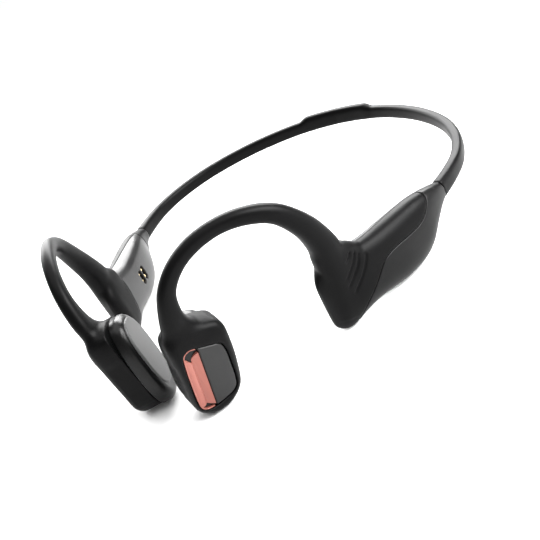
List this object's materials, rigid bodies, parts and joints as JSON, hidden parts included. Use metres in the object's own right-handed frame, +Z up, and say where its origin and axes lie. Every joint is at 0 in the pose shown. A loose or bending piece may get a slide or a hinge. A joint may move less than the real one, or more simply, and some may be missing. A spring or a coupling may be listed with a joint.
{
  "type": "bone conduction headphones",
  "caption": "Open-ear bone conduction headphones: a flexible band behind the neck, a hook over each ear, a pod behind it and a cheekbone transducer in front.",
  "frame": {"origin": "middle of the bottom of the bounding box, on the surface that the pods and transducers rest on when the headphones lie level", "axes": "+X is the wearer's left, -Y is towards the face and +Y towards the back of the neck, +Z is up; the neck band lies level"},
  "size_m": [0.1056, 0.1238, 0.0421],
  "materials": {
    "silicone": "soft matte black silicone",
    "shell_plastic": "fine matte dark grey plastic",
    "inner_plastic": "satin mid grey plastic",
    "gloss_black": "glossy black plastic",
    "pad_silicone": "smooth grey skin pad",
    "plate_plastic": "satin dark grey touch plate",
    "coral_trim": "satin coral metallic",
    "titanium": "drawn spring wire",
    "cable": "thin insulated cable",
    "steel": "stamped bright steel",
    "magnet": "nickel plated magnet",
    "copper": "enamelled copper winding",
    "circuit_board": "green solder mask",
    "cell_foil": "foil pouch cell",
    "gold_pins": "gold plated contacts"
  },
  "bodies": {
    "band_centre": {"band_centre_cover": "silicone", "band_core_wire": "titanium", "band_cable": "cable"},
    "left_side": {"left_band_sleeve": "silicone", "left_hook_cover": "silicone", "left_hook_wire": "titanium", "left_hook_cable": "cable", "left_pod_rear_shell": "shell_plastic", "left_pod_inner_shell": "inner_plastic", "left_module_case": "gloss_black", "left_skin_pad": "pad_silicone", "left_touch_plate": "plate_plastic", "left_trim_strip": "coral_trim", "left_touch_board": "circuit_board", "left_spring_plate": "steel", "left_voice_coil": "copper", "left_microphone": "steel", "battery": "cell_foil"},
    "right_side": {"right_band_sleeve": "silicone", "right_hook_cover": "silicone", "right_hook_wire": "titanium", "right_hook_cable": "cable", "right_pod_rear_shell": "shell_plastic", "right_pod_inner_shell": "inner_plastic", "right_module_case": "gloss_black", "right_skin_pad": "pad_silicone", "right_touch_plate": "plate_plastic", "right_trim_strip": "coral_trim", "right_touch_board": "circuit_board", "right_spring_plate": "steel", "right_voice_coil": "copper", "right_microphone": "steel", "main_board": "circuit_board", "radio_shield": "steel", "charging_port": "gloss_black", "charging_pins": "gold_pins", "charging_magnets": "magnet", "key_switches": "steel"},
    "left_driver": {"left_driver_yoke": "steel", "left_driver_magnet": "magnet"},
    "right_driver": {"right_driver_yoke": "steel", "right_driver_magnet": "magnet"},
    "volume_up": {"volume_up_key": "shell_plastic"},
    "volume_down": {"volume_down_key": "shell_plastic"}
  },
  "joints": [
    {"name": "left_flex", "type": "hinge", "parent": "band_centre", "child": "left_side", "pos_m": [0.0145, 0.058, 0.01099], "axis": [0, 0, 1], "range_deg": [-0.7, 28], "stiffness_Nm_per_rad": 0.25, "deforming": ["left_band_sleeve", "band_core_wire", "band_cable"]},
    {"name": "right_flex", "type": "hinge", "parent": "band_centre", "child": "right_side", "pos_m": [-0.0145, 0.058, 0.01099], "axis": [0, 0, -1], "range_deg": [-0.7, 28], "stiffness_Nm_per_rad": 0.25, "deforming": ["right_band_sleeve", "band_core_wire", "band_cable"]},
    {"name": "left_driver_travel", "type": "slide", "parent": "left_side", "child": "left_driver", "axis": [0.851, -0.5113, -0.1201], "range_m": [-0.00025, 0.00025], "stiffness_N_per_m": 1000, "deforming": ["left_spring_plate"]},
    {"name": "right_driver_travel", "type": "slide", "parent": "right_side", "child": "right_driver", "axis": [-0.851, -0.5113, -0.1201], "range_m": [-0.00025, 0.00025], "stiffness_N_per_m": 1000, "deforming": ["right_spring_plate"]},
    {"name": "volume_up_press", "type": "slide", "parent": "right_side", "child": "volume_up", "axis": [-0.0358, 0.0982, 0.9945], "range_m": [0, 0.00035], "stiffness_N_per_m": 400},
    {"name": "volume_down_press", "type": "slide", "parent": "right_side", "child": "volume_down", "axis": [-0.0358, 0.0982, 0.9945], "range_m": [0, 0.00035], "stiffness_N_per_m": 400}
  ]
}
